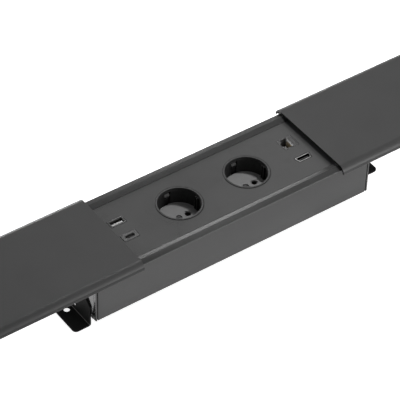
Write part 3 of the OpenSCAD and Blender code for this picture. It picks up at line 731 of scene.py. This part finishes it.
def pads(name, node, count, pitch, width, length, side):
    """A row of flat contacts on one face of a port's tongue."""
    low, high = span(node)
    face = high.y if side > 0 else low.y
    proud = 0.04
    below_tip = 0.5
    one = bar((-width / 2, -proud, -length), (width / 2, proud, 0))
    start = ((low.x + high.x) / 2 - pitch * (count - 1) / 2, face, high.z - below_tip)
    row = in_rows(name, one, gold, start, (count, 1, 1), (pitch, 0, 0))
    row.data.materials.clear()
    row.data.materials.append(gold.material)
    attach(row, "housing")


pads("usb_a_pads", "usb_a_tongue", 4, 2.5, 1, 6.5, 1)
pads("usb_c_pads_near", "usb_c_tongue", 12, 0.5, 0.25, 4, -1)
pads("usb_c_pads_far", "usb_c_tongue", 12, 0.5, 0.25, 4, 1)


# Data ports: a moulded network coupler with an outlined label field and eight sprung contacts on
# one wall of its opening, whose wall behind them is painted pale as the light on it, and a video
# coupler whose nickelled shell is painted black below its lip as the shade inside it. Both are
# held from below and open again on their undersides.

net_low, net_high = span("network_port")
net_x = (net_low.x + net_high.x) / 2
net_y = (net_low.y + net_high.y) / 2
net_face_l = 15.8
net_face_w = 14.1
label = (net_x + 5.4, net_y)
label_l = 3.4
label_w = 9
groove_w = 0.25
groove_d = 0.2
network_face = dressed("network_port", "network_coupler", 0.15)
groove_in = outline_rect(label_l - 2 * groove_w, label_w - 2 * groove_w, 0.3, label)
groove = stamped("groove", [outline_rect(label_l, label_w, 0.4, label), groove_in[::-1]],
                 net_high.z - groove_d, net_high.z + 1)
contact_low, contact_high = span("network_contacts")
margin = 1.5
port_grey = textured("port grey", 0.032, 0.042, 0.42, 0.2, 0.01)
port_x = port_grey.axis("X")
port_y = port_grey.axis("Y")
# Painted light: the wall behind the contacts is painted pale, as the light falling on it.
lit_wall_patch = (port_x > contact_high.x - 0.2) * (port_x < contact_high.x + margin)
lit_wall_patch = lit_wall_patch * (port_y > contact_low.y - margin) * (port_y < contact_high.y + margin)
lit_wall_patch = lit_wall_patch * (port_grey.axis("Z") < net_high.z - 0.1)
port_grey.patch(lit_wall_patch, 0.75)
seat(carved(network_face, [groove]), port_grey, "bezel_grey", "network_port")

wire_r = 0.22
wire_pitch = 1.02
lean = contact_high.x - contact_low.x
tall = contact_high.z - contact_low.z


def bent_wire():
    """One sprung contact: a wire that leans into the opening."""
    path = [(-lean + 2 * wire_r, 0, -tall), (-0.35 * lean, 0, -0.45 * tall), (0, 0, 0)]
    curve = bpy.data.curves.new("contact", "CURVE")
    curve.dimensions = "3D"
    curve.bevel_depth = wire_r * MM
    curve.bevel_resolution = 2
    curve.use_fill_caps = True
    line = curve.splines.new("POLY")
    line.points.add(len(path) - 1)
    for point, place in zip(line.points, path):
        point.co = (*[v * MM for v in place], 1)
    bent = link("contact", curve)
    evaluated = bent.evaluated_get(bpy.context.evaluated_depsgraph_get())
    mesh = bpy.data.meshes.new_from_object(evaluated)
    bpy.data.objects.remove(bent)
    mesh.shade_smooth()
    return link("contact", mesh)


start = (contact_high.x - wire_r, contact_low.y + wire_r, contact_high.z - wire_r)
seat(in_rows("network_wires", bent_wire(), gold, start, (1, 8, 1), (0, wire_pitch, 0)), gold,
     "contact_gold", "network_contacts")

shell_steel = textured("port shell", 0.45, 0.60, 0.30, 0.4, 0.003, cloud=4, Metallic=1.0)
shell_lip = 0.25
# Painted shade: the shell is painted near black below its lip, as the shade inside the opening.
shell_steel.patch(shell_steel.axis("Z") < span("video_shell")[1].z - shell_lip, 0.004)
seat(dressed("video_coupler", "video_body", 0.25), case, "carrier_black", "video_coupler")
seat(dressed("video_shell", "video_sleeve", 0.1, 2), shell_steel, "shell_steel", "video_shell")
seat(dressed("video_tongue", "video_blade", 0.15), black, "tongue_black", "video_tongue")
pads("video_pads_near", "video_tongue", 9, 1, 0.4, 5, -1)
pads("video_pads_far", "video_tongue", 10, 1, 0.4, 5, 1)


# Face panel: satin anthracite sheet, 2 mm thick, laid on the trough's ledges, with a punched
# hole for each socket and port. Its edges are broken by hand.

panel_low, panel_high = span("face_panel")
fit_gap = 0.15
video_edge = 0.6
video_slant = 1.5


def outline_circle(radius, steps=96, centre=(0, 0)):
    """A circle, counter-clockwise."""
    turns = [math.tau * i / steps for i in range(steps)]
    return [(centre[0] + radius * math.cos(a), centre[1] + radius * math.sin(a)) for a in turns]


def panel_holes():
    """The sockets' round holes, two bezels' holes, the network port's and the video port's."""
    holes = [outline_circle(wall_r + fit_gap, 128, (x, 0)) for x in cup_xs]
    for port in ("usb_a", "usb_c"):
        low, high = span(port + "_bezel")
        centre = ((low.x + high.x) / 2, (low.y + high.y) / 2)
        holes.append(outline_rect(high.x - low.x + 4 * fit_gap, high.y - low.y + 4 * fit_gap,
                                  0.8, centre))
    holes.append(outline_rect(net_face_l + 2 * fit_gap, net_face_w + 2 * fit_gap, 0.3,
                              (net_x, net_y)))
    low, high = span("video_shell")
    grow = video_edge + (high.x - low.x) / 2
    deep = video_edge + (high.y - low.y) / 2
    x, y = (low.x + high.x) / 2, (low.y + high.y) / 2
    holes.append([(x - grow, y + deep), (x - grow, y + 0.2), (x - grow + video_slant, y - deep),
                  (x + grow - video_slant, y - deep), (x + grow, y + 0.2), (x + grow, y + deep)])
    return holes


panel_length = panel_high.x - panel_low.x
panel_width = panel_high.y - panel_low.y
satin = textured("satin panel", 0.025, 0.032, 0.30, 0.14, 0.008)
panel = stamped("panel_sheet", [outline_rect(panel_length, panel_width, 0.3), *panel_holes()],
                panel_low.z, panel_high.z)
seat(eased(panel, 0.2, 2, 40), satin, "panel_grey", "face_panel")


# End plates: steel plates, lacquered glossy black on their faces and left matt on their sides,
# over a set-back layer that leaves a groove at the joint, painted near black as its shade. Four
# blackened screws with a cross hold each one to the trough's ports.

lacquer = textured("plate lacquer", 0.012, 0.018, 0.25, 1.2, 0.004, Specular_IOR_Level=0.1,
                   Coat_Roughness=0.2, Coat_IOR=2.1)
plate_x = span("end_plate_right")[1].x
plate_y = span("end_plate_right")[1].y
plate_t = 1.5
side_w = 1
beyond = lacquer.off_middle("X") > plate_x - plate_t
face = lacquer.off_middle("Y") < plate_y - side_w
lacquer.feed("Coat Weight", beyond * face)
lacquer.patch(1 - face, 0.034)
# Painted shade: the set-back layer is painted near black, as the shade in the groove.
lacquer.patch(1 - beyond, 0.001)
lacquer.feed("Roughness", 0.95 - beyond * (0.62 + lacquer.grain(9) * 0.1))
for side in ("left", "right"):
    seat(dressed("end_plate_" + side, "end_cap_" + side, 0.12), lacquer, "plate_black",
         "end_plate_" + side)

black_zinc = textured("blackened screw", 0.05, 0.08, 0.42, 0.25, 0.006, cloud=3, Metallic=1.0)
low, high = span("end_plate_screws")
cross_r = 2.5
cross_h = 1.5
cross_round = 0.9
cross_floor = 0.6
thread_l = 14
thread_r = 1.5
thread_tip_r = 1
arm = 1.3
arm_w = 0.3
head_arc = arc(cross_r - cross_round, cross_h - cross_round, cross_round, 0, 90, 6)
cross = carved(
    lathed("cross_screw", [(0, -thread_l), (thread_tip_r, -thread_l),
                           (thread_r, -thread_l + 1.5), (thread_r, 0), (cross_r, 0), *head_arc,
                           (0, cross_h)], 48),
    [bar((-arm, -arm_w, cross_floor), (arm, arm_w, 3)),
     bar((-arm_w, -arm, cross_floor), (arm_w, arm, 3))])
start = (-plate_x, low.y + cross_r, low.z + cross_r)
steps = (2 * plate_x, high.y - low.y - 2 * cross_r, high.z - low.z - 2 * cross_r)
seat(in_rows("end_cap_screws", cross, black_zinc, start, (2, 2, 2), steps, True), black_zinc,
     "zinc_screw", "end_plate_screws")


# Desk brackets: 1.5 mm steel strip, punched with two slots and two desk screw holes, bent to an
# angle and powder coated black, with a painted highlight along the fold. Each slides up and down
# under its two clamp screws.

powder = textured("powder coat", 0.009, 0.013, 0.42, 0.45, 0.03, Specular_IOR_Level=0.05)
sheet_t = 1.5
bend_r = 2.3
glint_reach = bend_r - 0.3
glint_x = glint_reach - span("bracket_left")[1].x
glint_z = glint_reach + span("bracket_left")[0].z
# Painted highlight: a lighter line along the fold, as the light caught by the bend.
powder.patch((powder.off_middle("X") < glint_x) * (powder.axis("Z") < glint_z), 0.09)
desk_hole_r = 2.75
desk_hole_gap = 24
desk_hole_in = 8
slot_r = 2.2
washer_r = 4.5
clamp_y = span("clamp_washers")[1].y - washer_r
slot_low = 6.35
slot_high = 27.35
shoulder = 8.5
tip_r = 4


def slot_outline(u, v, length):
    """A round-ended slot whose ends are half circles about two points."""
    half = length / 2
    return [*arc(u + half, v, slot_r, -90, 90, 12), *arc(u - half, v, slot_r, 90, 270, 12)]


def bracket(side):
    """The punched strip is laid flat, then bent: u runs up the strip and v across it."""
    low, high = span("bracket_" + side)
    inner = min(abs(low.x), abs(high.x))
    reach = max(abs(low.x), abs(high.x)) - inner
    half = high.y
    bend = math.pi / 2 * (bend_r - sheet_t / 2)
    tip = -(reach - bend_r)
    top = bend + high.z - low.z - bend_r
    rim = [*arc(tip + tip_r, -half + tip_r, tip_r, 270, 180, 6),
           *arc(tip + tip_r, half - tip_r, tip_r, 180, 90, 6), (top - shoulder, half),
           (top, half - shoulder), (top, -half + shoulder), (top - shoulder, -half)]
    hole_u = -(plate_x + desk_hole_in - inner - bend_r)
    slot_u = bend + (slot_low + slot_high) / 2 - bend_r
    holes = [outline_circle(desk_hole_r, 40, (hole_u, s * desk_hole_gap / 2)) for s in (-1, 1)]
    holes += [slot_outline(slot_u, s * clamp_y, slot_high - slot_low) for s in (-1, 1)]
    strip = stamped("desk_bracket_" + side, [rim, *holes], 0, sheet_t)
    build = bmesh.new()
    build.from_mesh(strip.data)
    folds = 8
    for i in range(folds + 1):
        everything = build.verts[:] + build.edges[:] + build.faces[:]
        bmesh.ops.bisect_plane(build, geom=everything, dist=1e-7, plane_no=(1, 0, 0),
                               plane_co=(bend * i / folds * MM, 0, 0))
    sign = -1 if side == "left" else 1
    for vertex in build.verts:
        u, v, w = vertex.co / MM
        if u < 0:
            x, z = inner + bend_r - u, low.z + w
        elif u > bend:
            x, z = inner + w, low.z + bend_r + u - bend
        else:
            turn = math.pi / 2 * u / bend
            x = inner + bend_r - (bend_r - w) * math.sin(turn)
            z = low.z + bend_r - (bend_r - w) * math.cos(turn)
        vertex.co = Vector((sign * x, v, z)) * MM
    bmesh.ops.recalc_face_normals(build, faces=build.faces)
    build.to_mesh(strip.data)
    build.free()
    return eased(strip, 0.2, 2, 40)


for side in ("left", "right"):
    seat(bracket(side), powder, "bracket_black", "bracket_" + side)


# Clamp hardware: a button head screw with a hexagon socket, a washer and a nut inside the end
# plate, two of each at both ends, all zinc plated.

washer_low, washer_high = span("clamp_washers")
clamp_z = (washer_low.z + washer_high.z) / 2
washer_x = washer_high.x
washer_t = 0.8
washer_hole_r = 2.15
clamp_r = 2
clamp_chamfer = 0.4
button_r = 3.8
button_h = 2.2
button_edge = 0.6
button_round = 1.6
key_af = 2.5
key_d = 1.3
nut_x = span("clamp_nuts")[1].x
nut_t = 3.2
nut_af = 7
nut_hole_r = 2.05
shank_l = washer_x - nut_x + nut_t + 2


def at_clamps(name, one, x, *stands_for):
    """Sets one piece at all four clamps, turned outwards."""
    steps = (2 * x, 2 * clamp_y, 0)
    made = in_rows(name, one, zinc, (-x, -clamp_y, clamp_z), (2, 2, 1), steps, True)
    seat(made, zinc, "zinc_screw", *stands_for)


def hexagon(across_flats):
    """A hexagon, from its width between two flats."""
    return outline_circle(across_flats / math.sqrt(3), 6)


button = lathed("button", [(0, -shank_l), (clamp_r - clamp_chamfer, -shank_l),
                           (clamp_r, -shank_l + clamp_chamfer), (clamp_r, 0), (button_r, 0),
                           (button_r, button_edge),
                           *arc(button_r - button_round, button_edge, button_round, 0, 90, 8),
                           (0, button_h)], 48)
key = stamped("key", [hexagon(key_af)], button_h - key_d, button_h + 1)
at_clamps("clamp_button_screws", carved(button, [key]), washer_x, "clamp_screws")

worn = 0.15
washer = lathed("washer", [(washer_hole_r, -washer_t), (washer_r - worn, -washer_t),
                           (washer_r, -washer_t + worn), (washer_r, -worn), (washer_r - worn, 0),
                           (washer_hole_r, 0), (washer_hole_r, -washer_t)], 64)
at_clamps("clamp_flat_washers", washer, washer_x, "clamp_washers")

nut = stamped("nut", [hexagon(nut_af), outline_circle(nut_hole_r, 32)], -nut_t, 0)
at_clamps("clamp_hex_nuts", eased(nut, 0.3), nut_x, "clamp_nuts")


# Covers: anthracite anodised aluminium channels with round shoulders, open below and sawn square
# at both ends. Their lips are painted darker and their inner ends near black, as the shade under
# them. Black acetal glide shoes inside each one ride on the trough's rails.

acetal = textured("glide acetal", 0.008, 0.014, 0.5, 0.5, 0.01)
coat(acetal, "glides_left", "glides_right")


def cover_tree():
    """A tree that bends a flat grid over the cover's section and runs it along X."""
    group = bpy.data.node_groups.new("bent cover", "GeometryNodeTree")
    sockets = ["Inner End", "Length", "Half Width", "Shoulder Radius", "Top"]
    for name in sockets:
        group.interface.new_socket(name=name, in_out="INPUT", socket_type="NodeSocketFloat")
    group.interface.new_socket(name="Finish", in_out="INPUT", socket_type="NodeSocketMaterial")
    group.interface.new_socket(name="Geometry", in_out="OUTPUT", socket_type="NodeSocketGeometry")
    graph = Graph(group)
    given = group.nodes.new("NodeGroupInput")
    given = {socket.name: Wire(graph, socket) for socket in given.outputs if socket.name}
    flat = given["Half Width"] - given["Shoulder Radius"]
    radius = given["Shoulder Radius"]
    cells = {"Size X": 1.0, "Size Y": 2.0, "Vertices X": 9, "Vertices Y": 181}
    grid = graph.node("GeometryNodeMeshGrid", {}, cells, "Mesh")
    place = graph.node("GeometryNodeInputPosition")
    u = graph.node("ShaderNodeSeparateXYZ", {}, {0: place}, "X")
    v = graph.node("ShaderNodeSeparateXYZ", {}, {0: place}, "Y")
    run = v.math("ABSOLUTE", v) * (flat + radius * (math.pi / 2))
    turn = (run - flat).math("MAXIMUM", run - flat, 0) / radius
    y = v.math("SIGN", v) * (run.math("MINIMUM", run, flat) + radius * turn.math("SINE", turn))
    z = given["Top"] - radius + radius * turn.math("COSINE", turn)
    x = given["Inner End"] + given["Length"] * (u + 0.5)
    bent = graph.node("ShaderNodeCombineXYZ", {}, {"X": x, "Y": y, "Z": z})
    shape = graph.node("GeometryNodeSetPosition", {}, {"Geometry": grid, "Position": bent})
    solid = graph.node("GeometryNodeRealizeInstances", {}, {0: shape})
    solid = graph.node("GeometryNodeSetMaterial", {},
                       {"Geometry": solid, "Material": given["Finish"]})
    out = group.nodes.new("NodeGroupOutput")
    group.links.new(solid.socket, out.inputs[0])
    return group


COVER = cover_tree()
cover_t = 1.6
lip_shade_h = 2.9
end_shade_d = 0.08

for side, outwards in (("left", -1), ("right", 1)):
    low, high = span("cover_" + side)
    inner = high.x if outwards < 0 else low.x
    cover_satin = textured("cover anodising " + side, 0.024, 0.031, 0.40, 0.16, 0.010,
                           stretch=(0.25, 1, 1), Specular_IOR_Level=0.25)
    # Painted shade: the lip band is painted darker and the sawn inner end near black, as the shade
    # under the cover.
    shaded_end = (cover_satin.axis("X") - inner) * outwards < end_shade_d
    cover_satin.patch(cover_satin.axis("Z") < low.z + lip_shade_h, 0.010)
    cover_satin.patch(shaded_end, 0.003)
    values = {"Inner End": inner * MM, "Length": outwards * (high.x - low.x) * MM,
              "Half Width": high.y * MM, "Shoulder Radius": (high.z - low.z) * MM,
              "Top": high.z * MM, "Finish": cover_satin.material}
    skin = grown("cover_channel_" + side, COVER, values)
    build = bmesh.new()
    build.from_mesh(skin.data)
    bmesh.ops.recalc_face_normals(build, faces=build.faces)
    if sum(face.normal.z for face in build.faces) < 0:
        bmesh.ops.reverse_faces(build, faces=build.faces)
    build.to_mesh(skin.data)
    build.free()
    wall = skin.modifiers.new("wall", "SOLIDIFY")
    wall.thickness = cover_t * MM
    wall.offset = -1
    seat(eased(plain(skin), 0.2, 2, 40), cover_satin, "cover_grey", "cover_" + side)


# Studio: a white light table with soft lamps round it, and the camera of the photograph. Three of
# the lamps light either the sheen or the colour of the pieces and not both.

table_w = 6000
table_t = 10
ground_z = min(corner.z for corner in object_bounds()) / MM - 0.2
table = stamped("light_table", [outline_rect(table_w, table_w, 10)], ground_z - table_t, ground_z)
paper = Finish("white paper", Roughness=0.9, Emission_Strength=0.85)
paper.feed("Base Color", paper.mix(paper.grain(400), 0.80, 0.84))
paper.shader.inputs["Emission Color"].default_value = (1, 1, 1, 1)
table.data.materials.append(paper.material)
table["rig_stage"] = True


def lamp(name, power, size, place, aim=(0, 0, 0)):
    """A soft rectangular lamp: size and places are in metres."""
    light = bpy.data.lights.new(name, "AREA")
    light.shape = "RECTANGLE"
    light.size, light.size_y = size
    light.energy = power
    lit = bpy.data.objects.new(name, light)
    bpy.context.scene.collection.objects.link(lit)
    lit.location = place
    lit.rotation_mode = "QUATERNION"
    lit.rotation_quaternion = (Vector(aim) - Vector(place)).to_track_quat("-Z", "Y")
    lit.visible_camera = False
    return lit


def toward(azimuth, elevation, distance):
    """A place in a direction: azimuth turns from +Y towards +X, in degrees."""
    a, e = math.radians(azimuth), math.radians(elevation)
    return Vector((math.sin(a) * math.cos(e), math.cos(a) * math.cos(e), math.sin(e))) * distance


lamp("back_strip", 40, (2.8, 0.30), toward(-3, 12, 2.0))
lamp("panel_softbox", 0.22, (0.32, 0.32), toward(39, 43, 0.8) + Vector((0.18, 0, 0)), (0.1, 0, 0))
lamp("left_softbox", 0.48, (0.45, 0.45), (0.13, 0.74, 0.85), (-0.2, 0, 0))
rail_softbox = lamp("rail_softbox", 1.1, (0.12, 0.25), (0.15, 0.13, 0.62), (-0.1, 0, 0))
rail_softbox.visible_diffuse = False
crown = lamp("crown", 4.5, (0.06, 0.06), (0.25, 0, 0.62), (0.1, 0, 0))
crown.visible_glossy = False
lamp("shoulder_softbox", 5.4, (0.6, 0.3), (0.52, -0.95, 0.22), (0.05, -0.05, 0))
lamp("shoulder_fill", 0.7, (0.5, 0.45), (0.36, -0.50, 0.72), (0, -0.05, 0))
shoulder_glint = lamp("shoulder_glint", 1.0, (0.5, 0.4), (0.46, -0.90, 0.51), (0.03, -0.05, 0))
shoulder_glint.visible_diffuse = False

world = bpy.data.worlds.new("studio")
bpy.context.scene.world = world
world.use_nodes = True
sky = Graph(world.node_tree)
view = sky.node("ShaderNodeTexCoord", output="Generated")
height = sky.node("ShaderNodeSeparateXYZ", {}, {0: view}, "Z")
glow = sky.node("ShaderNodeValToRGB", {"stops": [(0.0, 0.42), (0.75, 0.34)]}, {0: height})
backdrop = world.node_tree.nodes["Background"]
world.node_tree.links.new(glow.socket, backdrop.inputs["Color"])
backdrop.inputs["Strength"].default_value = 1.0

azimuth, elevation, roll = -36.717, 42.938, 1.87
camera_place = (-0.8801, -1.1705, 1.3525)
eye = bpy.data.cameras.new("camera")
eye.lens = 203.86
eye.sensor_width = 36
eye.clip_end = 50
camera = bpy.data.objects.new("camera", eye)
bpy.context.scene.collection.objects.link(camera)
back = toward(180 - azimuth, elevation, 1)
right = Vector((math.cos(math.radians(azimuth)), math.sin(math.radians(azimuth)), 0))
up = back.cross(right)
tilt = math.radians(roll)
right, up = (right * math.cos(tilt) + up * math.sin(tilt),
             up * math.cos(tilt) - right * math.sin(tilt))
turn = Matrix((right, up, back)).transposed().to_4x4()
camera.matrix_world = Matrix.Translation(camera_place) @ turn
bpy.context.scene.camera = camera
bpy.context.scene.view_settings.view_transform = "Standard"
